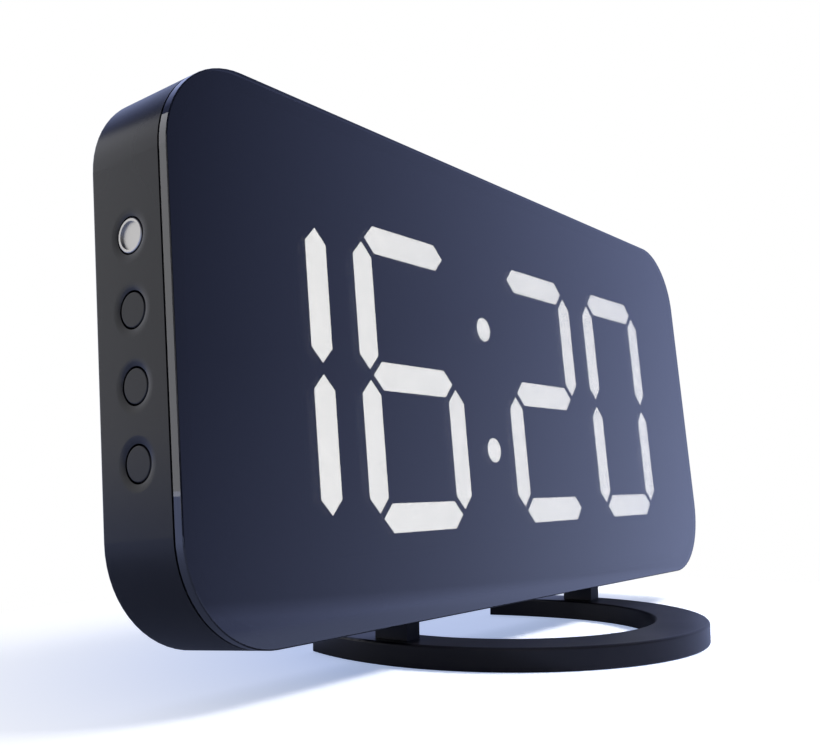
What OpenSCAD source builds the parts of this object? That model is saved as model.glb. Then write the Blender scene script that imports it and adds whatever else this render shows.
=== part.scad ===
// Mirror-faced digital alarm clock on a ring stand that is open at the back.
// The origin is on the table under the middle of the stand. +X is to the right as seen from the front,
// the face looks along -Y and leans back, and +Z is up. Sizes are in millimetres.

/* [Case] */
// Width of the case and its lens
case_w = 186; // [183:1:210]
// Height of the case along its leaning face
case_h = 89; // [87:1:110]
// Depth from the lens's front to the back of the rear cover
case_d = 17.5; // [16.6:0.1:22]
// Radius of the outline's lower corners
corner_r = 17.2; // [14:0.1:22]
// Radius of the outline's upper corners
top_r = 15.8; // [13:0.1:22]
// Thickness of the side walls
wall = 2; // [1.6:0.1:2.6]
// Thickness of the wall behind the lens
front_wall = 1.2; // [1:0.1:1.6]
// Round along the back edge of the side walls
back_round = 0.6; // [0.4:0.1:1.4]
// Angle at which the face leans back
lean = 4.8; // [2:0.2:8]
// Height of the face's bottom edge over the table
case_lift = 8.15; // [7.5:0.05:14]
// How far the face's bottom edge stands in front of the ring's centre
case_reach = 7.7; // [5:0.1:11]

/* [Lens] */
// Thickness of the lens
lens_t = 1.6; // [1.2:0.1:2]
// Round along the lens's front edge
lens_round = 0.2; // [0.1:0.1:0.8]
// Thickness of the tape that holds the lens
tape_t = 0.4; // [0.15:0.05:0.5]
// Width of the tape
tape_w = 2.5; // [1.5:0.1:4]
// How far the tape stays inside the outline
tape_inset = 0.5; // [0.3:0.1:1]

/* [Display] */
// Distance between the upright bars of a digit
digit_w = 26.1; // [22:0.1:28]
// Distance between the level bars of a digit
row_h = 25; // [22:0.1:26]
// Width of a bar
bar_w = 5.2; // [4.2:0.1:6]
// Space between the point of a bar and the crossing that it points at
bar_end = 0.9; // [0.6:0.1:1.4]
// Distance between the digits of a pair
digit_pitch = 38.4; // [37:0.1:40]
// Distance between the two digits beside the colon
colon_pitch = 48.8; // [46:0.1:51]
// Middle of the colon gap, from the case's middle
display_x = -11.3; // [-13:0.1:-9]
// Middle row of the digits, from the case's middle
display_y = -1.45; // [-2:0.05:1]
// Diameter of a colon dot
dot_d = 5; // [4:0.1:6]
// Colon dots, from the middle of the colon gap
dot_x = 1; // [-1:0.1:2]
// Depth of the segment frame
frame_d = 5; // [4.4:0.1:5.4]
// Rim of the segment frame around the digits
frame_rim = 3; // [3:0.1:5]
// Thickness of a bar's light guide
guide_t = 2; // [1.5:0.1:2.6]
// Width of the ledge that a light guide rests on
guide_ledge = 0.6; // [0.4:0.1:0.9]

/* [Buttons] */
// Diameter of a button
button_d = 5.3; // [4.4:0.1:6]
// Distance between neighbouring buttons
button_pitch = 11.2; // [10.4:0.1:12.4]
// Middle of the row of buttons, from the case's middle
button_mid = 0.2; // [-3:0.1:3]
// Depth of the buttons' axes behind the lens's front
button_depth = 9.05; // [8:0.05:9.4]
// How far a button travels
button_travel = 0.5; // [0.3:0.05:0.7]
// How far a black button's face lies below the wall's face
button_sink = 0.2; // [0.1:0.05:0.5]
// How far the metal button's rim lies below the wall's face
metal_sink = 0.1; // [0:0.05:0.3]
// Width of the metal button's rim
cup_rim = 0.5; // [0.4:0.1:0.8]
// Depth of the metal button's cup
cup_deep = 0.4; // [0.3:0.1:0.9]
// Width of the soft dish around a button's hole
dish_w = 1.3; // [0.8:0.1:1.6]
// Depth of the dish at the hole's edge
dish_deep = 0.22; // [0.1:0.02:0.4]

/* [Back] */
// Thickness of the rear cover
cover_t = 2; // [1.8:0.1:2.4]
// Diameter of the backup cell
cell_d = 20; // [16:0.5:20]
// Thickness of the backup cell
cell_t = 3.2; // [2:0.1:3.2]
// How far the battery cap turns to open
cap_turn = 45; // [40:1:60]
// Width of the power inlet's mouth
inlet_w = 7.6; // [7:0.1:9]
// Height of the power inlet's mouth
inlet_h = 2.9; // [2.6:0.1:3.6]
// Diameter of the buzzer
buzzer_d = 12; // [9:0.5:14]
// Height of the buzzer
buzzer_h = 5.4; // [4:0.1:5.6]

/* [Stand] */
// Outside diameter of the ring's front half
ring_od = 82.2; // [74:0.1:100]
// Inside diameter of the ring's front half
ring_id = 61; // [56:0.1:68]
// Radius of the outer side of the ring's arms, which run back from its front half
arm_out = 53; // [45:1:80]
// Radius of the inner side of the arms
arm_in = 65; // [45:1:90]
// Ends of the arms, behind the ring's centre
arm_y = 21.2; // [18:0.1:30]
// Thickness of the ring
ring_t = 4.15; // [3.5:0.05:5]
// Round along the ring's upper edges
ring_round = 0.5; // [0.2:0.1:1]
// Width of a post across the face
post_w = 3.8; // [3.2:0.1:5]
// Depth of a post from front to back
post_d = 7.2; // [6:0.1:8.4]
// Posts' middle, behind the ring's centre
post_y = 1; // [0:0.1:1.6]
// Posts' middle, outwards from the middle of the ring's bar
post_out = 0.45; // [0:0.05:0.8]
// Length of the tenon on each post
tenon_h = 6; // [4:0.1:6.4]

/* [Fits] */
// Gap all round a button in its hole
button_gap = 0.25; // [0.15:0.05:0.35]
// Gap all round the rear cover
cover_gap = 0.15; // [0.1:0.05:0.25]
// Gap all round a piece that is set in a seat
seat_gap = 0.1; // [0.05:0.05:0.2]
// Gap between the lens and the light guides
lens_gap = 0.1; // [0.05:0.05:0.2]

/* [Hidden] */
$fn = 64;

// Depths behind the lens's front
front_at = lens_t + tape_t;
front_back = front_at + front_wall;
frame_front = lens_t + lens_gap;
frame_back = frame_front + frame_d;
board_t = 1.6;
board_back = frame_back + board_t;
cover_front = case_d - cover_t;
// How far a cut runs on past the face that it opens
over = 1;

// Height inside the walls
inner_h = case_h - 2 * wall;
edge_band = 1;
// Radii of the outline's corners, from the upper right one on round to the left
CORNERS = [top_r, top_r, corner_r, corner_r];

// Bars of a digit as [across, up, turned]: top, upper right, lower right, bottom, lower left,
// upper left, middle
BARS = [
    [0, 1, 0], [0.5, 0.5, 90], [0.5, -0.5, 90], [0, -1, 0],
    [-0.5, -0.5, 90], [-0.5, 0.5, 90], [0, 0, 0]
];
// Bars that each digit has, the first one being the narrow leading 1, and bars that the time 16:20 lights
FITTED = [[1, 2], [0, 1, 2, 3, 4, 5, 6], [0, 1, 2, 3, 4, 5, 6], [0, 1, 2, 3, 4, 5, 6]];
LIT = [[1, 2], [0, 2, 3, 4, 5, 6], [0, 1, 3, 4, 6], [0, 1, 2, 3, 4, 5]];
digit_x = [
    display_x - colon_pitch / 2 - digit_pitch, display_x - colon_pitch / 2,
    display_x + colon_pitch / 2, display_x + colon_pitch / 2 + digit_pitch
];

// The segment frame spans the fitted bars, and the display board spans the frame and its bosses
frame_x = (digit_x[0] + digit_x[3] + digit_w) / 2;
frame_w = digit_x[3] - digit_x[0] + bar_w + 2 * frame_rim;
frame_h = 2 * row_h + bar_w + 2 * frame_rim;
frame_lip = 0.6;
boss_r = 2;
boss_x = frame_w / 2 + frame_lip + boss_r + seat_gap;
boss_y = frame_h / 2 - 2 * boss_r;
board_edge = 0.6;
board_w = 2 * (boss_x + boss_r + board_edge);
board_h = frame_h + 2 * board_edge;
BOARD_BOSSES = [for (sx = [-1, 1], sy = [-1, 1]) [frame_x + sx * boss_x, display_y + sy * boss_y]];
led = [1.6, 0.8, 0.7];

// Screws: the shank's radius, the head's radius and height, and the shank's length
board_screw = [1, 1.9, 1.3, 5];
cover_screw = [1.2, 2.1, 1.2, 8];
// Length and width of the cross in a screw's head, as shares of the head's radius
cross_l = 1.4;
cross_w = 0.3;

// Pillars in the corners carry the rear cover
pillar_r = 3;
pillar_bite = 0.4;
pillar_floor = 2;
function pillar_in(r) = r - (r - wall - pillar_r + pillar_bite) * sqrt(0.5);
PILLARS = [
    for (sx = [-1, 1], end = [[-1, corner_r], [1, top_r]])
        [sx * (case_w / 2 - pillar_in(end[1])), end[0] * (case_h / 2 - pillar_in(end[1]))]
];
rib_t = 1.6;
rib_in = 2;
rib_pitch = 60;

// Buttons stand in the left wall, top one first, and press the switches behind it
BUTTON_Y = [for (i = [1.5, 0.5, -0.5, -1.5]) button_mid + i * button_pitch];
hole_r = button_d / 2 + button_gap;
dish_r = hole_r + dish_w;
dish_round = (dish_w * dish_w + dish_deep * dish_deep) / (2 * dish_deep);
dish_hair = 0.002;
button_round = 0.2;
flange_t = 0.8;
flange_reach = 0.7;
flange_r = hole_r + flange_reach;
flange_at = wall + seat_gap;
stem_r = 1.5;
stem_l = 1.5;
switch_at = flange_at + flange_t + stem_l;
plunger_r = 1.4;
plunger_out = 1;
plunger_in = 1;
switch_size = 6;
switch_t = 3.4;
button_board_at = switch_at + plunger_out + switch_t;
button_board_past = 4;
button_board_h = 3 * button_pitch + switch_size + 2 * button_board_past;
guide_grip = 1.3;
guide_wall = 1.2;
guide_d = 8;

// Things on the back of the display board, from the case's middle
cell_at = [-46, -4];
buzzer_at = [0, 12];
chip_at = [16, -12];
crystal_at = [32, -12];
CAPACITORS = [[26, 12], [34, 12]];
regulator_at = [46, 12];
inlet_at = [58, -20];

// Backup cell, its holder and its bayonet cap
cell_r = cell_d / 2;
cell_step = 1;
holder_floor = 0.6;
contact_t = 0.3;
contact_span = 0.7;
cell_front = board_back + holder_floor + contact_t;
cell_back = cell_front + cell_t;
cell_play = 0.6;
holder_r = cell_r + 2 * seat_gap;
holder_wall = 1.4;
cap_hole_r = cell_r + 1;
cap_r = cap_hole_r - seat_gap;
cap_wall = 1.5;
cap_rim = 1.5;
cap_rim_t = 1;
lug_reach = 1.2;
lug_t = 1;
lug_angle = 28;
lug_spare = 3;

// Power inlet
inlet_shell = 0.3;
inlet_past = 0.6;
inlet_recess = [11.4, 6.8, 1];

// Stand, whose middle from front to back is the origin
middle_y = (ring_od / 2 - arm_y) / 2;
bow_band = 2;
bow_lap = 0.5;
arm_clip = 0.3;
post_x = (ring_od + ring_id) / 4 + post_out;
post_depth = (post_y + case_reach) / cos(lean);
tenon_inset = [0.6, 0.8];
tenon_w = post_w - 2 * tenon_inset[0];
tenon_d = post_d - 2 * tenon_inset[1];
socket_wall = 1.4;
socket_roof = 0.8;
foot_round = 0.3;

// Places children in the leaning case: x across, y up from its middle, z out of the lens's front
module case_place() {
    translate([0, middle_y - case_reach, case_lift])
        rotate([90 - lean, 0, 0])
            translate([0, case_h / 2, 0])
                children();
}

// Extrudes a plan between two depths behind the lens's front
module slab(from, to) {
    translate([0, 0, -to])
        linear_extrude(to - from)
            children();
}

// Plan of the case's outline, set in by an amount
module case_plan(inset) {
    w = case_w - 2 * inset;
    h = case_h - 2 * inset;
    low = corner_r - inset;
    top = top_r - inset;
    translate([-w / 2, -h / 2 + low]) square([w, h - low - top]);
    for (end = [[-1, low], [1, top]])
        translate([0, end[0] * (h / 2 - end[1])]) {
            square([w - 2 * end[1], 2 * end[1]], center = true);
            for (s = [-1, 1])
                translate([s * (w / 2 - end[1]), 0]) circle(end[1]);
        }
}

// Plan of a slot with round ends
module round_slot(l, w) {
    square([l - w, w], center = true);
    for (sx = [-1, 1])
        translate([sx * (l - w) / 2, 0])
            circle(w / 2);
}

// Carries a cross-section round the case's outline; its x is measured outwards from the outline
module edge_run() {
    for (k = [0 : 3]) {
        across = k % 2 == 0 ? case_w : case_h;
        along = k % 2 == 0 ? case_h : case_w;
        r = CORNERS[k];
        last_r = CORNERS[(k + 3) % 4];
        rotate([0, 0, 90 * k]) {
            translate([across / 2, (last_r - r) / 2, 0])
                rotate([90, 0, 0])
                    linear_extrude(along - last_r - r, center = true)
                        children();
            translate([across / 2 - r, along / 2 - r, 0])
                rotate_extrude(angle = 90)
                    translate([r, 0]) children();
        }
    }
}

// Cuts the corner off a cross-section outside a circle that touches both its sides
module corner_cut(r) {
    difference() {
        square(r);
        circle(r);
    }
}

// Turns a round piece's profile about the axis of a side button; its y runs out of the left wall
module button_turn(i) {
    translate([-case_w / 2, BUTTON_Y[i], -button_depth])
        rotate([0, -90, 0])
            rotate_extrude()
                children();
}

// A block in the left wall's own frame: how far in, how far up, and between two depths
module left_block(in_from, in_to, up_from, up_to, deep_from, deep_to) {
    translate([-case_w / 2 + in_from, up_from, -deep_to])
        cube([in_to - in_from, up_to - up_from, deep_to - deep_from]);
}

// Outline of a bar with pointed ends
module bar_outline(l, w) {
    polygon([
        [-l / 2, 0], [-l / 2 + w / 2, w / 2], [l / 2 - w / 2, w / 2],
        [l / 2, 0], [l / 2 - w / 2, -w / 2], [-l / 2 + w / 2, -w / 2]
    ]);
}

function bar_length(b) = (BARS[b][2] == 90 ? row_h : digit_w) - 2 * bar_end;

// Puts children where bar b of digit d lies, along the bar
module at_bar(d, b) {
    translate([digit_x[d] + BARS[b][0] * digit_w, display_y + BARS[b][1] * row_h])
        rotate(BARS[b][2])
            children();
}

// Outline of bar b of digit d, grown outwards by a margin
module bar_plan(d, b, grow) {
    at_bar(d, b)
        bar_outline(bar_length(b) + 2 * sqrt(2) * grow, bar_w + 2 * grow);
}

module dot_plan(grow) {
    for (s = [-1, 1])
        translate([display_x + dot_x, display_y + s * row_h / 2])
            circle(dot_d / 2 + grow);
}

// Light guides of digit d in the listed bars
module light_guides(d, bars) {
    case_place()
        slab(frame_front, frame_front + guide_t)
            for (b = bars)
                bar_plan(d, b, -seat_gap / 2);
}

// A screw whose head rests at a depth; the shank runs towards the lens
module screw(size, at) {
    difference() {
        union() {
            slab(at, at + size[2]) circle(size[1]);
            slab(at - size[3], at) circle(size[0]);
        }
        slab(at + size[2] / 2, at + size[2]) {
            square([cross_l * size[1], cross_w * size[1]], center = true);
            square([cross_w * size[1], cross_l * size[1]], center = true);
        }
    }
}

// Carries a section round the open ring: a half circle in front, then an arm of wider arc on either side.
// The section's x is measured outwards from the line that it follows
module bow_run(r, arm_r, end) {
    rotate([0, 0, 180])
        rotate_extrude(angle = 180)
            translate([r, 0]) children();
    for (s = [0, 1])
        mirror([s, 0, 0])
            translate([r - arm_r, 0, 0])
                rotate_extrude(angle = asin(end / arm_r))
                    translate([arm_r, 0]) children();
}

// Plan of the space inside such a line, back to its end
module bow_plan(r, arm_r, end) {
    intersection() {
        circle(r);
        translate([-r, -r]) square([2 * r, r]);
    }
    intersection() {
        translate([arm_r - r, 0]) circle(arm_r);
        translate([r - arm_r, 0]) circle(arm_r);
        translate([-r, 0]) square([2 * r, end]);
    }
}

// Section along one side of the ring, with its upper and lower edges rounded
module bow_section() {
    difference() {
        translate([-bow_band, 0]) square([bow_band, ring_t]);
        translate([-ring_round, ring_t - ring_round]) corner_cut(ring_round);
        translate([-foot_round, foot_round]) mirror([0, 1]) corner_cut(foot_round);
    }
}

// The arms are cut flat at their ends, and their sharp inner corner is cut square to its side
module open_ring() {
    inset = bow_band - bow_lap;
    difference() {
        union() {
            bow_run(ring_od / 2, arm_out, arm_y + over) bow_section();
            bow_run(ring_id / 2, arm_in, arm_y - arm_clip) mirror([1, 0]) bow_section();
            linear_extrude(ring_t)
                difference() {
                    bow_plan(ring_od / 2 - inset, arm_out - inset, arm_y + over);
                    bow_plan(ring_id / 2 + inset, arm_in + inset, arm_y + 2 * over);
                }
        }
        translate([-ring_od, arm_y, -over]) cube([2 * ring_od, ring_od, ring_t + 2 * over]);
    }
}

module stand() {
    color("#17181f") {
        translate([0, middle_y, 0]) open_ring();
        for (s = [-1, 1]) {
            difference() {
                translate([s * post_x - post_w / 2, middle_y + post_y - post_d / 2, ring_t / 2])
                    cube([post_w, post_d, case_lift]);
                case_place()
                    translate([s * post_x - post_w, -case_h / 2, -2 * case_d])
                        cube([2 * post_w, case_lift + ring_t, 3 * case_d]);
            }
            case_place()
                translate([s * post_x - tenon_w / 2, -case_h / 2 - tenon_h / 4, -post_depth - tenon_d / 2])
                    cube([tenon_w, tenon_h * 1.25, tenon_d]);
        }
    }
}

// Cross-section of the side wall with its back edge rounded
module wall_section() {
    difference() {
        translate([-wall, -case_d]) square([wall, case_d - front_at]);
        translate([-back_round, -case_d + back_round]) mirror([0, 1]) corner_cut(back_round);
    }
}

// Sockets for the stand's tenons, inside the bottom wall
module tenon_socket(s) {
    translate([s * post_x, -case_h / 2, -post_depth])
        translate([-tenon_w / 2 - socket_wall, wall / 2, -tenon_d / 2 - socket_wall])
            cube([tenon_w + 2 * socket_wall, tenon_h + socket_roof - wall / 2, tenon_d + 2 * socket_wall]);
}

module tenon_hole(s) {
    translate([s * post_x, -case_h / 2, -post_depth])
        translate([-tenon_w / 2 - seat_gap, -over, -tenon_d / 2 - seat_gap])
            cube([tenon_w + 2 * seat_gap, tenon_h + seat_gap + over, tenon_d + 2 * seat_gap]);
}

// Rail that holds one end of the upright button board; s is 1 at the top and -1 at the bottom
module board_rail(s) {
    rail_at = button_mid + s * (button_board_h / 2 - guide_grip);
    rail_end = button_mid + s * (button_board_h / 2 + guide_wall);
    slot_end = button_mid + s * (button_board_h / 2 + seat_gap);
    low = min(rail_at, rail_end);
    high = max(rail_at, rail_end);
    difference() {
        left_block(
            button_board_at - guide_wall, button_board_at + board_t + guide_wall, low, high,
            front_back - front_wall / 2, front_back + guide_d
        );
        left_block(
            button_board_at - seat_gap, button_board_at + board_t + seat_gap,
            min(rail_at - s * over, slot_end), max(rail_at - s * over, slot_end),
            front_back, front_back + guide_d + over
        );
    }
}

// Profile that cuts a button's hole with the soft dish around it; the dish's round rises a hair over the
// wall's face, so that the cut ends in a clean edge
module button_hole() {
    translate([0, -wall - over]) square([hole_r, wall + over]);
    difference() {
        translate([0, -dish_deep]) square([dish_r, dish_deep + over]);
        translate([dish_r, dish_hair - dish_round]) circle(dish_round);
    }
}

module housing() {
    color("#2f3035")
    case_place()
    difference() {
        union() {
            edge_run() wall_section();
            slab(front_at, front_back) case_plan(edge_band);
            for (at = PILLARS)
                translate(at) slab(front_back - front_wall / 2, cover_front) circle(pillar_r);
            for (at = BOARD_BOSSES)
                translate(at) slab(front_back - front_wall / 2, frame_back) circle(boss_r);
            for (x = [-rib_pitch, 0, rib_pitch], s = [-1, 1])
                translate([x, s * (inner_h / 2 - rib_in / 2 + wall / 4)])
                    slab(front_back - front_wall / 2, cover_front)
                        square([rib_t, rib_in + wall / 2], center = true);
            for (s = [-1, 1]) {
                tenon_socket(s);
                board_rail(s);
            }
        }
        translate([frame_x, display_y])
            slab(front_at - over, front_back + over)
                square([frame_w + 2 * seat_gap, frame_h + 2 * seat_gap], center = true);
        for (at = PILLARS)
            translate(at)
                slab(front_back + pillar_floor, cover_front + over) circle(cover_screw[0] + seat_gap / 2);
        for (at = BOARD_BOSSES)
            translate(at) slab(front_back, frame_back + over) circle(board_screw[0] + seat_gap / 2);
        for (s = [-1, 1]) tenon_hole(s);
        for (i = [0 : 3]) button_turn(i) button_hole();
    }
}

module mirror_lens() {
    color("#2b2d40")
    case_place() {
        slab(0, lens_t) case_plan(edge_band);
        edge_run()
            difference() {
                translate([-2 * edge_band, -lens_t]) square([2 * edge_band, lens_t]);
                translate([-lens_round, -lens_round]) corner_cut(lens_round);
            }
    }
}

module lens_tape() {
    color("#101014")
    case_place()
    slab(lens_t, front_at)
        difference() {
            case_plan(tape_inset);
            case_plan(tape_inset + tape_w);
        }
}

module segment_frame() {
    color("#15151a")
    case_place()
    difference() {
        translate([frame_x, display_y]) {
            slab(frame_front, frame_back) square([frame_w, frame_h], center = true);
            slab(front_back, frame_back)
                square([frame_w + 2 * frame_lip, frame_h + 2 * frame_lip], center = true);
        }
        for (d = [0 : 3], b = FITTED[d]) {
            slab(frame_front - over, frame_front + guide_t) bar_plan(d, b, 0);
            slab(frame_front + guide_t / 2, frame_back + over) bar_plan(d, b, -guide_ledge);
        }
        slab(frame_front - over, frame_front + guide_t) dot_plan(0);
        slab(frame_front + guide_t / 2, frame_back + over) dot_plan(-guide_ledge);
    }
}

module hour_tens_bars() { color("#f2f3f7") light_guides(0, LIT[0]); }
module hour_units_bars() { color("#f2f3f7") light_guides(1, LIT[1]); }
module minute_tens_bars() { color("#f2f3f7") light_guides(2, LIT[2]); }
module minute_units_bars() { color("#f2f3f7") light_guides(3, LIT[3]); }

module colon_dots() {
    color("#f2f3f7")
    case_place()
    slab(frame_front, frame_front + guide_t) dot_plan(-seat_gap / 2);
}

module dark_bars() {
    color("#55565e")
    for (d = [0 : 3]) {
        unlit = [for (b = FITTED[d]) if (len(search(b, LIT[d])) == 0) b];
        if (len(unlit) > 0) light_guides(d, unlit);
    }
}

module display_board() {
    color("#1f3d2c")
    case_place()
    slab(frame_back, board_back)
        difference() {
            translate([frame_x, display_y]) square([board_w, board_h], center = true);
            for (at = BOARD_BOSSES) translate(at) circle(board_screw[0] + seat_gap);
        }
}

module segment_leds() {
    color("#e9e4c8")
    case_place()
    slab(frame_back - led[2], frame_back) {
        for (d = [0 : 3], b = FITTED[d], s = [-1, 1])
            at_bar(d, b) translate([s * bar_length(b) / 4, 0]) square([led[0], led[1]], center = true);
        for (s = [-1, 1])
            translate([display_x + dot_x, display_y + s * row_h / 2]) square([led[0], led[1]], center = true);
    }
}

chip = [10, 10, 1.5];
chip_lift = 0.2;
leg = [1.2, 0.4, 0.8];
leg_pitch = 0.8;
legs_a_side = 11;

module control_chip() {
    color("#1b1b1d")
    case_place()
    translate(chip_at)
        slab(board_back + chip_lift, board_back + chip_lift + chip[2])
            square([chip[0], chip[1]], center = true);
}

module chip_legs() {
    color("#b8bcc0")
    case_place()
    translate(chip_at)
        slab(board_back, board_back + leg[2])
            for (k = [0 : 3], i = [0 : legs_a_side - 1])
                rotate(90 * k)
                    translate([chip[0] / 2 + leg[0] / 2, (i - (legs_a_side - 1) / 2) * leg_pitch])
                        square([leg[0], leg[1]], center = true);
}

crystal_r = 1.5;
crystal_l = 8;

module clock_crystal() {
    color("#c3c6ca")
    case_place()
    translate([crystal_at[0] - crystal_l / 2, crystal_at[1], -board_back - crystal_r - seat_gap])
        rotate([0, 90, 0])
            cylinder(r = crystal_r, h = crystal_l);
}

capacitor_r = 2.5;
capacitor_h = 5.2;

module capacitors() {
    color("#9aa0a8")
    case_place()
    for (at = CAPACITORS)
        translate(at) slab(board_back, board_back + capacitor_h) circle(capacitor_r);
}

regulator_body = [6.5, 3.5, 1.6];
regulator_tab = [3, 3.3, 0.5];

module regulator() {
    color("#1b1b1d")
    case_place()
    translate(regulator_at) {
        slab(board_back, board_back + regulator_body[2])
            square([regulator_body[0], regulator_body[1]], center = true);
        slab(board_back, board_back + regulator_tab[2])
            translate([0, regulator_body[1] / 2])
                square([regulator_tab[0], regulator_tab[1]], center = true);
    }
}

buzzer_hole_r = 1;
buzzer_hole_deep = 1;

module buzzer() {
    color("#141416")
    case_place()
    translate(buzzer_at)
        difference() {
            slab(board_back, board_back + buzzer_h) circle(buzzer_d / 2);
            slab(board_back + buzzer_h - buzzer_hole_deep, board_back + buzzer_h + over)
                circle(buzzer_hole_r);
        }
}

// Gap in the holder's wall through which the side contact reaches the cell
contact_w = 4;

module cell_holder() {
    color("#1d1d20")
    case_place()
    translate(cell_at)
        difference() {
            slab(board_back, cell_back - cell_t / 4) circle(holder_r + holder_wall);
            slab(board_back + holder_floor, cell_back + over) circle(holder_r);
            slab(board_back + holder_floor, cell_back + over)
                translate([holder_r, 0])
                    square([2 * (holder_wall + over), contact_w + 2 * seat_gap], center = true);
        }
}

module cell_contacts() {
    color("#c9a45a")
    case_place()
    translate(cell_at) {
        slab(board_back + holder_floor, cell_front) square([contact_span * cell_d, contact_w], center = true);
        translate([cell_r + seat_gap / 2 + contact_t / 2, 0])
            slab(board_back + holder_floor, cell_back - cell_t / 4)
                square([contact_t, contact_w], center = true);
    }
}

module coin_cell() {
    color("#c8cbce")
    case_place()
    translate(cell_at) {
        slab(cell_front + cell_t / 4, cell_back) circle(cell_r);
        slab(cell_front, cell_front + cell_t / 2) circle(cell_r - cell_step);
    }
}

// Plan of the inlet's mouth: flat on top, drawn in towards the bottom
module inlet_plan(grow) {
    w = inlet_w / 2 + grow;
    h = inlet_h / 2 + grow;
    polygon([[-w, h], [w, h], [w, 0], [w - h, -h], [h - w, -h], [-w, 0]]);
}

module power_inlet() {
    color("#b9bdc2")
    case_place()
    translate(inlet_at)
        slab(board_back, cover_front + inlet_past)
            difference() {
                inlet_plan(0);
                inlet_plan(-inlet_shell);
            }
}

tongue = [4, 0.7];
tongue_base = 1;

module inlet_tongue() {
    color("#16161a")
    case_place()
    translate(inlet_at) {
        slab(board_back, board_back + tongue_base) inlet_plan(-inlet_shell - seat_gap);
        slab(board_back, cover_front) translate([0, tongue[1] / 2]) square(tongue, center = true);
    }
}

module button_board() {
    color("#1f3d2c")
    case_place()
    left_block(
        button_board_at, button_board_at + board_t,
        button_mid - button_board_h / 2, button_mid + button_board_h / 2,
        front_back, cover_front - 2 * seat_gap
    );
}

module button_switches() {
    color("#26262a")
    case_place()
    for (i = [0 : 3])
        difference() {
            left_block(
                switch_at + plunger_out, button_board_at,
                BUTTON_Y[i] - switch_size / 2, BUTTON_Y[i] + switch_size / 2,
                button_depth - switch_size / 2, button_depth + switch_size / 2
            );
            button_turn(i)
                translate([0, -switch_at - plunger_out - plunger_in - button_travel - seat_gap])
                    square([plunger_r + seat_gap, plunger_in + button_travel + plunger_out]);
        }
}

// Profile of a button with its flange and stem; y is 0 at the wall's face and falls inwards
module button_profile(sink) {
    r = button_d / 2;
    difference() {
        translate([0, -flange_at - flange_t]) square([r, flange_at + flange_t - sink]);
        translate([r - button_round, -sink - button_round]) corner_cut(button_round);
    }
    translate([0, -flange_at - flange_t]) square([flange_r, flange_t]);
    translate([0, -switch_at]) square([stem_r, stem_l + flange_t / 2]);
}

module black_button(i) {
    case_place() button_turn(i) button_profile(button_sink);
}

module plunger(i) {
    case_place()
        button_turn(i)
            translate([0, -switch_at - plunger_out - plunger_in])
                square([plunger_r, plunger_out + plunger_in]);
}

module snooze_button() {
    color("#b9b9b8")
    case_place()
    button_turn(0)
        difference() {
            button_profile(metal_sink);
            translate([0, -metal_sink - cup_deep]) square([button_d / 2 - cup_rim, cup_deep + over]);
        }
}

module set_button() { color("#2f3035") black_button(1); }
module up_button() { color("#2f3035") black_button(2); }
module down_button() { color("#2f3035") black_button(3); }
module snooze_plunger() { color("#d8d4c8") plunger(0); }
module set_plunger() { color("#d8d4c8") plunger(1); }
module up_plunger() { color("#d8d4c8") plunger(2); }
module down_plunger() { color("#d8d4c8") plunger(3); }

// Right-angle header that links the two boards
link_pin = 0.64;
link_pitch = 2.54;
link_count = 5;
link_in = 1.5;
header_at = case_w / 2 + frame_x - board_w / 2 + link_in;

module link_header() {
    color("#141416")
    case_place()
    left_block(
        header_at, header_at + link_pitch,
        display_y - link_count * link_pitch / 2, display_y + link_count * link_pitch / 2,
        board_back, board_back + link_pitch
    );
}

module link_pins() {
    color("#c9a45a")
    case_place()
    for (i = [0 : link_count - 1]) {
        y = display_y + (i - (link_count - 1) / 2) * link_pitch;
        left_block(
            button_board_at + board_t, header_at, y - link_pin / 2, y + link_pin / 2,
            board_back + link_pitch / 2 - link_pin / 2, board_back + link_pitch / 2 + link_pin / 2
        );
    }
}

module board_screws() {
    color("#a9adb2")
    case_place()
    for (at = BOARD_BOSSES)
        translate(at) screw(board_screw, board_back);
}

// Plan of the battery cap's lugs, grown by a margin all round and turned
module lug_plan(turn, grow, spare) {
    half = (lug_angle + spare) / 2;
    far = 2 * cap_r;
    for (s = [0, 180])
        rotate(s + turn)
            intersection() {
                circle(cap_r + lug_reach + grow);
                polygon([[0, 0], [far, -far * tan(half)], [far, far * tan(half)]]);
            }
}

slot_l = 13;
slot_w = 1.4;
slot_pitch = 2.8;
slots = 4;

module rear_cover() {
    color("#2f3035")
    case_place()
    difference() {
        slab(cover_front, case_d) case_plan(wall + cover_gap);
        for (at = PILLARS)
            translate(at) {
                slab(cover_front - over, case_d + over) circle(cover_screw[0] + seat_gap);
                slab(case_d - cover_screw[2], case_d + over) circle(cover_screw[1] + 2 * seat_gap);
            }
        translate(cell_at) {
            slab(cover_front - over, case_d + over) circle(cap_hole_r);
            slab(cover_front - over, case_d + over) lug_plan(-cap_turn, 2 * seat_gap, lug_spare);
            slab(case_d - cap_rim_t, case_d + over) circle(cap_hole_r + cap_rim + seat_gap);
        }
        translate(buzzer_at)
            for (i = [0 : slots - 1])
                translate([0, (i - (slots - 1) / 2) * slot_pitch])
                    slab(cover_front - over, case_d + over) round_slot(slot_l, slot_w);
        translate(inlet_at) {
            slab(cover_front - over, case_d + over) inlet_plan(2 * seat_gap);
            slab(case_d - inlet_recess[2], case_d + over) round_slot(inlet_recess[0], inlet_recess[1]);
        }
    }
}

module cover_screws() {
    color("#a9adb2")
    case_place()
    for (at = PILLARS)
        translate(at) screw(cover_screw, case_d - cover_screw[2]);
}

coin_slot = [15, 1.8, 0.6];

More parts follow.
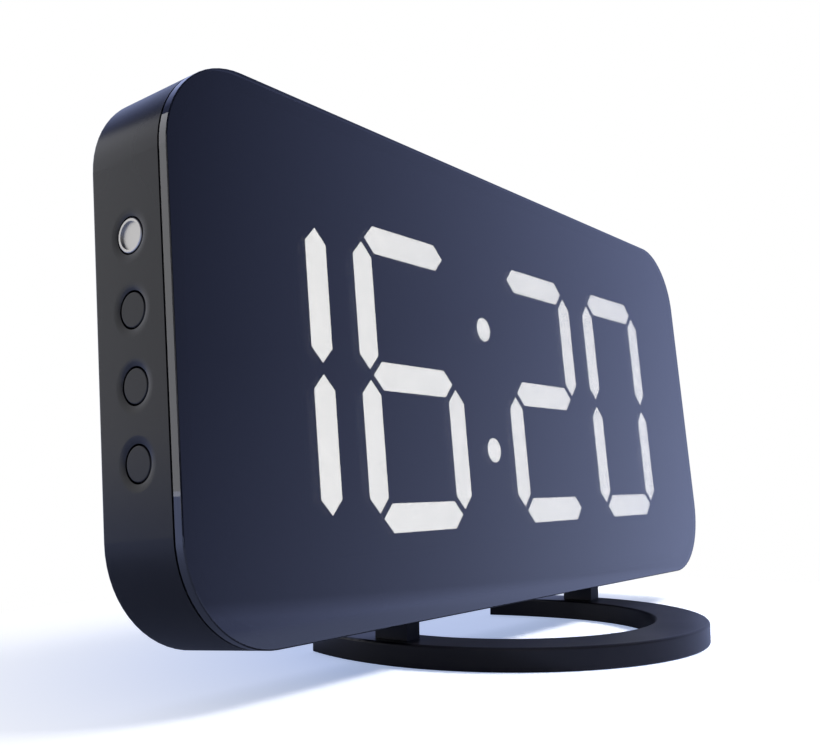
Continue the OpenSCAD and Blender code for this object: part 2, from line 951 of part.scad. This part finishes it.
module battery_cap() {
    color("#2b2c31")
    case_place()
    translate(cell_at)
        difference() {
            union() {
                slab(case_d - cap_rim_t + seat_gap / 2, case_d) circle(cap_hole_r + cap_rim - seat_gap);
                slab(cell_back + cell_play, case_d - cap_rim_t / 2) circle(cap_r);
                slab(cover_front - seat_gap - lug_t, cover_front - seat_gap) lug_plan(0, 0, 0);
            }
            slab(cell_back, case_d - 2 * cap_rim_t) circle(cap_r - cap_wall);
            slab(case_d - coin_slot[2], case_d + over) round_slot(coin_slot[0], coin_slot[1]);
        }
}

stand();
housing();
mirror_lens();
lens_tape();
segment_frame();
hour_tens_bars();
hour_units_bars();
colon_dots();
minute_tens_bars();
minute_units_bars();
dark_bars();
display_board();
segment_leds();
control_chip();
chip_legs();
clock_crystal();
capacitors();
regulator();
buzzer();
cell_holder();
cell_contacts();
coin_cell();
power_inlet();
inlet_tongue();
button_board();
button_switches();
link_header();
link_pins();
board_screws();
snooze_button();
set_button();
up_button();
down_button();
snooze_plunger();
set_plunger();
up_plunger();
down_plunger();
rear_cover();
cover_screws();
battery_cap();
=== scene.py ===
import math

import bpy
import numpy as np
from mathutils import Matrix, Vector


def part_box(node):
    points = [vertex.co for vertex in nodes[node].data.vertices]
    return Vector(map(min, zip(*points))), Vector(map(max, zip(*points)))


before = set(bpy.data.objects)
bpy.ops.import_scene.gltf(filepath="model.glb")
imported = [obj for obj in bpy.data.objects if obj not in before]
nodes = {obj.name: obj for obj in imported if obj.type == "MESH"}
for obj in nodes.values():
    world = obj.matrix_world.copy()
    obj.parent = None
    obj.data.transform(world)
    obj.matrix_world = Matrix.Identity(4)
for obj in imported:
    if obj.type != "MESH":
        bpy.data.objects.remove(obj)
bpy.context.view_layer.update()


# Housing and rear cover: a deep tray and the lid that drops into its back, both injection-moulded in
# near-black ABS. The mould's spark-eroded faces leave a fine satin, so the walls mirror a bright panel
# softly and fall off to navy.
MM = 0.001


def linear(code):
    """An sRGB hex colour as linear red, green, blue and an alpha of one."""
    srgb = np.array([int(code[i:i + 2], 16) for i in (1, 3, 5)]) / 255
    light = np.where(srgb <= 0.04045, srgb / 12.92, ((srgb + 0.055) / 1.055) ** 2.4)
    return (*light.tolist(), 1.0)


def add(tree, kind, inputs=None, **settings):
    """Adds a node. Settings are its own properties. An input takes a constant, a socket, or a node that
    stands for its first output in use."""
    made = tree.nodes.new(kind)
    for name, value in settings.items():
        setattr(made, name, value)
    for name, value in (inputs or {}).items():
        socket = made.inputs[name] if isinstance(name, int) else next(
            s for s in made.inputs if s.enabled and s.name == name
        )
        if isinstance(value, bpy.types.Node):
            value = next(s for s in value.outputs if s.enabled)
        if isinstance(value, bpy.types.NodeSocket):
            tree.links.new(value, socket)
        else:
            socket.default_value = value
    return made


def start(name):
    """A new material and its empty tree."""
    material = bpy.data.materials.new(name)
    material.use_nodes = True
    material.node_tree.nodes.clear()
    return material, material.node_tree


def dress(material, *names):
    """Gives CAD nodes this material in place of the plain one that they came with."""
    for name in names:
        nodes[name].data.materials[0] = material


# Most of a noise lies in this span of its values
noise_span = {"From Min": 0.3, "From Max": 0.7}


def moulded_abs(name, colour, roughness, grit, relief, sheen=0.5, cloud=0.04):
    """A moulding: a grit of fine pits from the mould's spark-eroded faces breaks up its gloss, and the
    flow of the melt leaves a slow cloud in its gloss and tone."""
    flow_size = 28 * MM
    flow_lift = 1.25
    tone_low = linear(colour)
    tone_high = (*(flow_lift * v for v in tone_low[:3]), 1.0)
    material, tree = start(name)
    place = add(tree, "ShaderNodeTexCoord").outputs["Object"]
    pits = add(tree, "ShaderNodeTexNoise", {"Vector": place, "Scale": 1 / grit, "Detail": 2.0})
    flow = add(tree, "ShaderNodeTexNoise", {"Vector": place, "Scale": 1 / flow_size, "Detail": 3.0})
    gloss = add(tree, "ShaderNodeMapRange", {
        "Value": flow, **noise_span, "To Min": roughness - cloud, "To Max": roughness + cloud,
    })
    tone = add(tree, "ShaderNodeMix", {"Factor": flow, "A": tone_low, "B": tone_high}, data_type="RGBA")
    bump = add(tree, "ShaderNodeBump", {"Height": pits, "Strength": 0.5, "Distance": relief})
    shader = add(tree, "ShaderNodeBsdfPrincipled", {
        "Base Color": tone, "Roughness": gloss, "IOR": 1.53, "Specular IOR Level": sheen, "Normal": bump,
    })
    add(tree, "ShaderNodeOutputMaterial", {"Surface": shader})
    return material


# Grit as coarse as the render can show: the real pits are about a tenth of a millimetre wide
case_abs = moulded_abs(
    "near-black satin ABS", "#111215", roughness=0.26, grit=0.3 * MM, relief=0.004 * MM, sheen=0.29,
)
dress(case_abs, "housing", "rear_cover")


# Segment frame, buzzer case, cell holder, inlet tongue and link header: black mouldings with no finish
# of their own. The segment frame stands in the housing's window, and its stepped wells hold the light
# guides apart so that no light spills from one to the next.
frame_abs = moulded_abs(
    "black moulded ABS, unpolished", "#0c0c0e", roughness=0.6, grit=0.4 * MM, relief=0.01 * MM,
)
dress(frame_abs, "segment_frame", "buzzer", "cell_holder", "inlet_tongue", "link_header")


# Light guides: milky acrylic bars pressed into the frame's wells. Lamps behind each lit bar fill it
# evenly, so it shows as flat white with the faintest cloud, bright enough to come through the smoked
# lens. The bars that the time leaves dark are the same acrylic, unlit.
glow = 17.8
glow_cloud = 0.2
glow_cloud_size = 6 * MM
lit_acrylic, lit_tree = start("milky acrylic light guide, lit")
lit_place = add(lit_tree, "ShaderNodeTexCoord").outputs["Object"]
lit_cloud = add(lit_tree, "ShaderNodeTexNoise", {
    "Vector": lit_place, "Scale": 1 / glow_cloud_size, "Detail": 2.0,
})
lit_glow = add(lit_tree, "ShaderNodeMapRange", {
    "Value": lit_cloud, **noise_span, "To Min": glow - glow_cloud, "To Max": glow + glow_cloud,
})
lit_shader = add(lit_tree, "ShaderNodeBsdfPrincipled", {
    "Base Color": linear("#e6e7ea"), "Roughness": 0.35, "IOR": 1.49,
    "Emission Color": linear("#fffef3"), "Emission Strength": lit_glow,
})
add(lit_tree, "ShaderNodeOutputMaterial", {"Surface": lit_shader})
dress(
    lit_acrylic,
    "hour_tens_bars", "hour_units_bars", "colon_dots", "minute_tens_bars", "minute_units_bars",
)

unlit_acrylic = moulded_abs(
    "smoky acrylic light guide, unlit", "#2a2b30", roughness=0.35, grit=0.5 * MM, relief=0.002 * MM,
)
dress(unlit_acrylic, "dark_bars")


# Display board and button board: glass-epoxy laminate under green solder mask, with copper tracks that
# stand a little proud of it. The display board is screwed to the housing's bosses, and the button board
# slides into two rails.
track_pitch = 2.54 * MM
track_length = 9 * track_pitch
track_width = 0.16 * track_pitch
track_height = 0.035 * MM
board_laminate, board_tree = start("glass-epoxy board, green solder mask")
board_place = add(board_tree, "ShaderNodeTexCoord").outputs["Object"]
tracks = add(board_tree, "ShaderNodeTexBrick", {
    "Vector": board_place, "Scale": 1.0, "Brick Width": track_length, "Row Height": track_pitch,
    "Mortar Size": track_width,
    "Color1": linear("#000000"), "Color2": linear("#000000"), "Mortar": linear("#ffffff"),
})
mask_tone = add(board_tree, "ShaderNodeMix", {
    "Factor": tracks, "A": linear("#123a22"), "B": linear("#2b6338"),
}, data_type="RGBA")
track_step = add(board_tree, "ShaderNodeBump", {
    "Height": tracks, "Strength": 0.6, "Distance": track_height,
})
board_shader = add(board_tree, "ShaderNodeBsdfPrincipled", {
    "Base Color": mask_tone, "Roughness": 0.3, "IOR": 1.55, "Normal": track_step,
})
add(board_tree, "ShaderNodeOutputMaterial", {"Surface": board_shader})
dress(board_laminate, "display_board", "button_board")


# Parts on the boards: lamps in clear resin over a yellow phosphor, and chips and switches in black epoxy
# resin, all soldered in place. The lamps' resin is cast smooth and glossy, and the epoxy is moulded with
# a fine matt grain.
led_resin = moulded_abs(
    "clear lamp resin over phosphor", "#d9cf86", roughness=0.18, grit=0.3 * MM, relief=0.001 * MM,
)
dress(led_resin, "segment_leds")
chip_resin = moulded_abs(
    "moulded epoxy resin", "#141415", roughness=0.55, grit=0.15 * MM, relief=0.006 * MM,
)
dress(chip_resin, "control_chip", "regulator", "button_switches")


# Metal of the boards, the cell and the screws: tinned legs and shells, drawn aluminium cans, stamped
# brass, nickel and zinc plate. Rolling, drawing and stamping leave fine scratches along one way, drawn
# here as coarse as they need to be to show.
def worked_metal(name, colour, roughness, grain, grain_way):
    """Rolled, drawn or plated metal: a fine grain varies its roughness and lies in its surface. It is
    long along the axis on which grain_way is under one."""
    gloss_spread = 0.25
    grain_relief = 0.004 * MM
    material, tree = start(name)
    place = add(tree, "ShaderNodeTexCoord").outputs["Object"]
    drawn = add(tree, "ShaderNodeMapping", {"Vector": place, "Scale": grain_way})
    lines = add(tree, "ShaderNodeTexNoise", {"Vector": drawn, "Scale": 1 / grain, "Detail": 4.0})
    gloss = add(tree, "ShaderNodeMapRange", {
        "Value": lines, **noise_span,
        "To Min": (1 - gloss_spread) * roughness, "To Max": (1 + gloss_spread) * roughness,
    })
    bump = add(tree, "ShaderNodeBump", {"Height": lines, "Strength": 0.3, "Distance": grain_relief})
    shader = add(tree, "ShaderNodeBsdfPrincipled", {
        "Base Color": linear(colour), "Metallic": 1.0, "Roughness": gloss, "Normal": bump,
    })
    add(tree, "ShaderNodeOutputMaterial", {"Surface": shader})
    return material


tinned_metal = worked_metal(
    "tinned copper and steel", "#c4c6c9", roughness=0.32, grain=0.2 * MM, grain_way=(0.1, 1, 1),
)
dress(tinned_metal, "chip_legs", "clock_crystal", "power_inlet")
drawn_aluminium = worked_metal(
    "drawn aluminium can", "#bfc3c8", roughness=0.28, grain=0.2 * MM, grain_way=(1, 0.1, 1),
)
dress(drawn_aluminium, "capacitors")
stamped_brass = worked_metal(
    "stamped brass", "#cfa95b", roughness=0.3, grain=0.2 * MM, grain_way=(0.1, 1, 1),
)
dress(stamped_brass, "cell_contacts", "link_pins")
nickel_plate = worked_metal(
    "nickel-plated steel", "#c9cacc", roughness=0.22, grain=0.3 * MM, grain_way=(1, 1, 0.1),
)
dress(nickel_plate, "coin_cell")
zinc_plate = worked_metal(
    "zinc-plated steel", "#a9adb2", roughness=0.35, grain=0.2 * MM, grain_way=(1, 1, 1),
)
dress(zinc_plate, "board_screws", "cover_screws")


# Tape: thin black foam with adhesive on both sides, set back from the edge. It holds the lens on the
# housing, and the groove that it leaves shows as a dark line beside the lens.
tape_foam = moulded_abs("black foam tape", "#070708", roughness=0.9, grit=0.2 * MM, relief=0.03 * MM)
dress(tape_foam, "lens_tape")


# Lens: a sheet of smoked acrylic with a thin half-mirror on it and a polished, rounded edge. Only the
# lit bars come through the smoke, and the half-mirror doubles what bare acrylic would mirror of the
# room. Wiping leaves the polish a trace uneven.
wiping_size = 35 * MM
smoked_acrylic, lens_tree = start("smoked acrylic, half-mirrored")
lens_place = add(lens_tree, "ShaderNodeTexCoord").outputs["Object"]
wiping = add(lens_tree, "ShaderNodeTexNoise", {
    "Vector": lens_place, "Scale": 1 / wiping_size, "Detail": 3.0,
})
polish = add(lens_tree, "ShaderNodeMapRange", {
    "Value": wiping, "From Min": 0.35, "From Max": 0.65, "To Min": 0.0, "To Max": 0.01,
})
lens_shader = add(lens_tree, "ShaderNodeBsdfPrincipled", {
    "Base Color": linear("#3f3f41"), "Roughness": polish, "IOR": 1.49,
    "Transmission Weight": 1.0, "Coat Weight": 1.0, "Coat IOR": 1.49, "Coat Roughness": 0.01,
})
add(lens_tree, "ShaderNodeOutputMaterial", {"Surface": lens_shader})
dress(smoked_acrylic, "mirror_lens")


# Metal button: aluminium, turned to a cup on a lathe and blasted, with a flange that keeps it behind the
# housing's wall. The tool's rings still show in its floor under the grain of the blasting. A Wave
# texture at a scale of one has wave_turns rings to the metre.
ring_pitch = 0.2 * MM
wave_turns = 20 / (2 * math.pi)
blasting_grit = 0.15 * MM
turning_relief = 0.004 * MM
cup_low, cup_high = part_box("snooze_button")
turned_aluminium, cup_tree = start("turned and blasted aluminium")
cup_place = add(cup_tree, "ShaderNodeTexCoord").outputs["Object"]
cup_centred = add(cup_tree, "ShaderNodeMapping", {
    "Vector": cup_place, "Location": tuple(-(a + b) / 2 for a, b in zip(cup_low, cup_high)),
})
tool_rings = add(cup_tree, "ShaderNodeTexWave", {
    "Vector": cup_centred, "Scale": 1 / (ring_pitch * wave_turns), "Distortion": 0.0,
}, wave_type="RINGS", rings_direction="X")
blasting = add(cup_tree, "ShaderNodeTexNoise", {
    "Vector": cup_place, "Scale": 1 / blasting_grit, "Detail": 2.0,
})
cup_height = add(cup_tree, "ShaderNodeMath", {0: tool_rings, 1: blasting}, operation="ADD")
cup_bump = add(cup_tree, "ShaderNodeBump", {
    "Height": cup_height, "Strength": 0.4, "Distance": turning_relief,
})
cup_shader = add(cup_tree, "ShaderNodeBsdfPrincipled", {
    "Base Color": linear("#c3c0b8"), "Metallic": 1.0, "Roughness": 0.42, "Normal": cup_bump,
})
add(cup_tree, "ShaderNodeOutputMaterial", {"Surface": cup_shader})
dress(turned_aluminium, "snooze_button")


# Black buttons and the battery cap: the same ABS and satin as the case, from their own small moulds.
# Behind each button a natural nylon plunger works its switch.
button_abs = moulded_abs(
    "satin ABS of the buttons", "#111215", roughness=0.3, grit=0.25 * MM, relief=0.004 * MM, sheen=0.29,
)
dress(button_abs, "set_button", "up_button", "down_button", "battery_cap")
nylon = moulded_abs("natural nylon", "#d0cab8", roughness=0.45, grit=0.3 * MM, relief=0.004 * MM)
dress(nylon, "snooze_plunger", "set_plunger", "up_plunger", "down_plunger")


# Stand: a flat ring, open at the back, with two posts, in one moulding of black ABS with a coarser satin
# than the case. Its tenons plug into sockets in the bottom of the housing.
stand_abs = moulded_abs(
    "black satin ABS of the stand", "#1a1a20",
    roughness=0.36, grit=0.35 * MM, relief=0.004 * MM, sheen=0.32,
)
dress(stand_abs, "stand")


# Floor: a plain white sheet that keeps the clock's shadow and goes over to pure white away from it. What
# mirrors it sees a bluish glow instead, with painted light and shade in it: a painted shadow in a strip
# under the clock, painted shade on the left near the clock, and painted light to the right and far to the
# left. Ahead of the lens that glow fades into the sky, so that the mirrored horizon is soft.
floor_reach = 4.0
floor_drop = 0.02 * MM
shadow_fades = 0.05
shadow_ends = 0.145
# Where the painted shadow strip under the clock lies, and the levels of painted shadow, shade and light in
# the mirrored floor
strip_middle = 0.01
strip_dark = 0.028
strip_ends = 0.036
mirrored_shadow = 0.12
mirrored_dim = 0.4
mirrored_bright = 1.1
ahead_way = (0.7, -0.7, 0.0)
corners = np.array([[-1, -1], [1, -1], [1, 1], [-1, 1]]) * floor_reach
floor_mesh = bpy.data.meshes.new("floor")
floor_mesh.from_pydata(np.column_stack([corners, np.full(4, -floor_drop)]).tolist(), [], [(0, 1, 2, 3)])
floor = bpy.data.objects.new("floor", floor_mesh)
bpy.context.scene.collection.objects.link(floor)
white_sheet, floor_tree = start("white floor")
floor_path = add(floor_tree, "ShaderNodeLightPath")
floor_place = add(floor_tree, "ShaderNodeTexCoord").outputs["Object"]

# As the camera sees it: sheet and shadow, lifted by bluish light, and white farther out
floor_diffuse = add(floor_tree, "ShaderNodeBsdfDiffuse", {"Color": linear("#f3f3f3")})
floor_lift = add(floor_tree, "ShaderNodeEmission", {"Color": linear("#9aa9c7"), "Strength": 1.0})
floor_lifted = add(floor_tree, "ShaderNodeAddShader", {0: floor_diffuse, 1: floor_lift})
floor_near = add(floor_tree, "ShaderNodeMixShader", {
    0: floor_path.outputs["Is Camera Ray"], 1: floor_diffuse, 2: floor_lifted,
})
floor_away = add(floor_tree, "ShaderNodeVectorMath", {0: floor_place}, operation="LENGTH").outputs["Value"]
floor_fade = add(floor_tree, "ShaderNodeMapRange", {
    "Value": floor_away, "From Min": shadow_fades, "From Max": shadow_ends,
    "To Min": 0.0, "To Max": floor_path.outputs["Is Camera Ray"],
})
floor_far = add(floor_tree, "ShaderNodeEmission", {"Color": linear("#ffffff"), "Strength": 1.0})
floor_seen = add(floor_tree, "ShaderNodeMixShader", {0: floor_fade, 1: floor_near, 2: floor_far})

# As it is mirrored: a bluish glow in which light and shade are painted
floor_axes = add(floor_tree, "ShaderNodeSeparateXYZ", {"Vector": floor_place})
floor_aside = add(floor_tree, "ShaderNodeMath", {
    0: floor_axes.outputs["Y"], 1: strip_middle,
}, operation="SUBTRACT")
floor_under = add(floor_tree, "ShaderNodeMath", {0: floor_aside}, operation="ABSOLUTE")
# Painted shadow of the case and stand: darker in a strip under the clock
floor_shadow_strip = add(floor_tree, "ShaderNodeMapRange", {
    "Value": floor_under, "From Min": strip_dark, "From Max": strip_ends,
    "To Min": mirrored_shadow, "To Max": 1.0,
})
# Painted light: brighter to the right, dimmer towards the clock's shadow on the left
floor_right = add(floor_tree, "ShaderNodeMapRange", {
    "Value": floor_axes.outputs["X"], "From Min": -0.12, "From Max": 0.04,
    "To Min": mirrored_dim, "To Max": mirrored_bright,
})
# Painted shade on the left near the clock, where its shadow falls, going bright farther out
floor_left = add(floor_tree, "ShaderNodeMapRange", {
    "Value": floor_axes.outputs["X"], "From Min": -0.2, "From Max": -0.07,
    "To Min": mirrored_bright, "To Max": mirrored_shadow,
})
floor_shaded = add(floor_tree, "ShaderNodeMath", {0: floor_right, 1: floor_shadow_strip}, operation="MULTIPLY")
floor_painted_light = add(floor_tree, "ShaderNodeMath", {0: floor_shaded, 1: floor_left}, operation="MAXIMUM")
# The mirrored floor glows with this painted light and shade
floor_blue = add(floor_tree, "ShaderNodeEmission", {"Color": linear("#b6c4f8"), "Strength": floor_painted_light})
floor_ahead = add(floor_tree, "ShaderNodeVectorMath", {
    0: floor_place, 1: ahead_way,
}, operation="DOT_PRODUCT").outputs["Value"]
floor_end = add(floor_tree, "ShaderNodeMapRange", {
    "Value": floor_ahead, "From Min": 0.25, "From Max": 0.6,
})
floor_clear = add(floor_tree, "ShaderNodeBsdfTransparent")
floor_mirrored = add(floor_tree, "ShaderNodeMixShader", {0: floor_end, 1: floor_blue, 2: floor_clear})
floor_shader = add(floor_tree, "ShaderNodeMixShader", {
    0: floor_path.outputs["Is Glossy Ray"], 1: floor_seen, 2: floor_mirrored,
})
add(floor_tree, "ShaderNodeOutputMaterial", {"Surface": floor_shader})
floor_mesh.materials.append(white_sheet)


# Studio: white where the camera looks past the clock, and a bluish sky for all that lights it or is
# mirrored in it. The key light and the overhead softbox light the clock and aren't mirrored; the white
# and grey panels are only mirrored.
back_way = (0.0, 0.78, 0.62)
horizon_way = (0.116, 0.0, 1.0)
sky_strength = 1.15
haze_strength = 1.78
world = bpy.data.worlds.new("studio")
world.use_nodes = True
sky = world.node_tree
sky.nodes.clear()
sky_way = add(sky, "ShaderNodeTexCoord").outputs["Generated"]
sky_axes = add(sky, "ShaderNodeSeparateXYZ", {"Vector": sky_way})

# Brighter to the right, and dimmer upwards
sky_side = add(sky, "ShaderNodeMapRange", {
    "Value": sky_axes.outputs["X"], "From Min": 0.493, "From Max": 0.937, "To Min": 0.1, "To Max": 1.0,
})
sky_fall = add(sky, "ShaderNodeMapRange", {
    "Value": sky_axes.outputs["Z"], "From Min": 0.0, "From Max": 0.25, "To Min": 1.1, "To Max": 0.86,
})
sky_right = add(sky, "ShaderNodeMath", {0: sky_side, 1: sky_fall}, operation="MULTIPLY")

# Bright again high up behind the clock, and less so to the left
sky_behind = add(sky, "ShaderNodeVectorMath", {
    0: sky_way, 1: back_way,
}, operation="DOT_PRODUCT").outputs["Value"]
sky_across = add(sky, "ShaderNodeMapRange", {
    "Value": sky_axes.outputs["X"], "From Min": -0.15, "From Max": 0.3, "To Min": 0.18, "To Max": 1.0,
})
sky_above = add(sky, "ShaderNodeMapRange", {
    "Value": sky_behind, "From Min": 0.55, "From Max": 0.9, "To Min": 0.0, "To Max": sky_across,
})
sky_level = add(sky, "ShaderNodeMath", {0: sky_right, 1: sky_above}, operation="MAXIMUM")

# Haze along a horizon that lies a little lower on the right
sky_height = add(sky, "ShaderNodeVectorMath", {
    0: sky_way, 1: horizon_way,
}, operation="DOT_PRODUCT").outputs["Value"]
sky_haze = add(sky, "ShaderNodeMapRange", {
    "Value": sky_height, "From Min": 0.074, "From Max": 0.09,
    "To Min": haze_strength, "To Max": sky_strength,
})
sky_light = add(sky, "ShaderNodeMath", {0: sky_level, 1: sky_haze}, operation="MULTIPLY")
sky_tone = add(sky, "ShaderNodeMix", {
    "Factor": sky_level, "A": linear("#aab9ff"), "B": linear("#abb8e8"),
}, data_type="RGBA")
sky_fill = add(sky, "ShaderNodeBackground", {"Color": sky_tone, "Strength": sky_light})
sky_white = add(sky, "ShaderNodeBackground", {"Color": linear("#ffffff"), "Strength": 1.0})
sky_path = add(sky, "ShaderNodeLightPath")
sky_mix = add(sky, "ShaderNodeMixShader", {
    0: sky_path.outputs["Is Camera Ray"], 1: sky_fill, 2: sky_white,
})
add(sky, "ShaderNodeOutputWorld", {"Surface": sky_mix})
bpy.context.scene.world = world

panel_aim = Vector((0, 0, 0.05))


def towards(turn, climb):
    """The way that is turned by an angle from the front towards +X and climbs by another from level."""
    return Vector((
        math.sin(turn) * math.cos(climb),
        -math.cos(turn) * math.cos(climb),
        math.sin(climb),
    ))


def panel(name, turn, climb, distance, size, watts, colour):
    """A soft oblong light that faces the clock from a turn and a climb in degrees."""
    light = bpy.data.lights.new(name, "AREA")
    light.shape = "RECTANGLE"
    light.size, light.size_y = size
    light.energy = watts
    light.color = linear(colour)[:3]
    lamp = bpy.data.objects.new(name, light)
    way = towards(math.radians(turn), math.radians(climb))
    lamp.location = panel_aim + distance * way
    lamp.rotation_euler = way.to_track_quat("Z", "Y").to_euler()
    lamp.visible_camera = False
    bpy.context.scene.collection.objects.link(lamp)
    return lamp


key_light = panel(
    "key light", turn=41, climb=49, distance=0.9, size=(0.28, 0.28), watts=8.6, colour="#fffdf9",
)
overhead = panel(
    "overhead softbox", turn=0, climb=90, distance=1.0, size=(3.0, 3.0), watts=5.0, colour="#fff9e7",
)
for lamp in (key_light, overhead):
    lamp.visible_glossy = False
    lamp.visible_transmission = False
white_panel = panel(
    "white panel", turn=-140, climb=18.5, distance=0.8, size=(0.9, 0.594), watts=1.83, colour="#ffffff",
)
grey_panel = panel(
    "grey panel", turn=-53, climb=20, distance=0.8, size=(0.7, 0.36), watts=0.4, colour="#ffffff",
)
for lamp in (white_panel, grey_panel):
    lamp.visible_diffuse = False


# Camera: low, close and to the left of the clock, looking slightly up. Its place, turn and focal length
# come from a fit of the clock's real sizes to the photograph, so its perspective is the photograph's.
picture_width = 820
focal_pixels = 1004.93
camera_turn = math.radians(-53.448)
camera_climb = math.radians(-6.0124)
camera_roll = math.radians(-0.6027)
camera_at = Vector((-184.454, -102.394, 32.145)) * MM
camera_data = bpy.data.cameras.new("camera")
camera_data.sensor_width = 36.0
camera_data.lens = focal_pixels / picture_width * camera_data.sensor_width
camera_data.clip_start = 0.01
camera = bpy.data.objects.new("camera", camera_data)
camera_back = towards(camera_turn, camera_climb)
camera_right = Vector((0, 0, 1)).cross(camera_back).normalized()
camera_up = camera_back.cross(camera_right)
camera_axes = Matrix((camera_right, camera_up, camera_back)).transposed().to_4x4()
camera.matrix_world = Matrix.Translation(camera_at) @ camera_axes @ Matrix.Rotation(camera_roll, 4, "Z")
bpy.context.scene.collection.objects.link(camera)
bpy.context.scene.camera = camera
bpy.context.scene.view_settings.view_transform = "Standard"
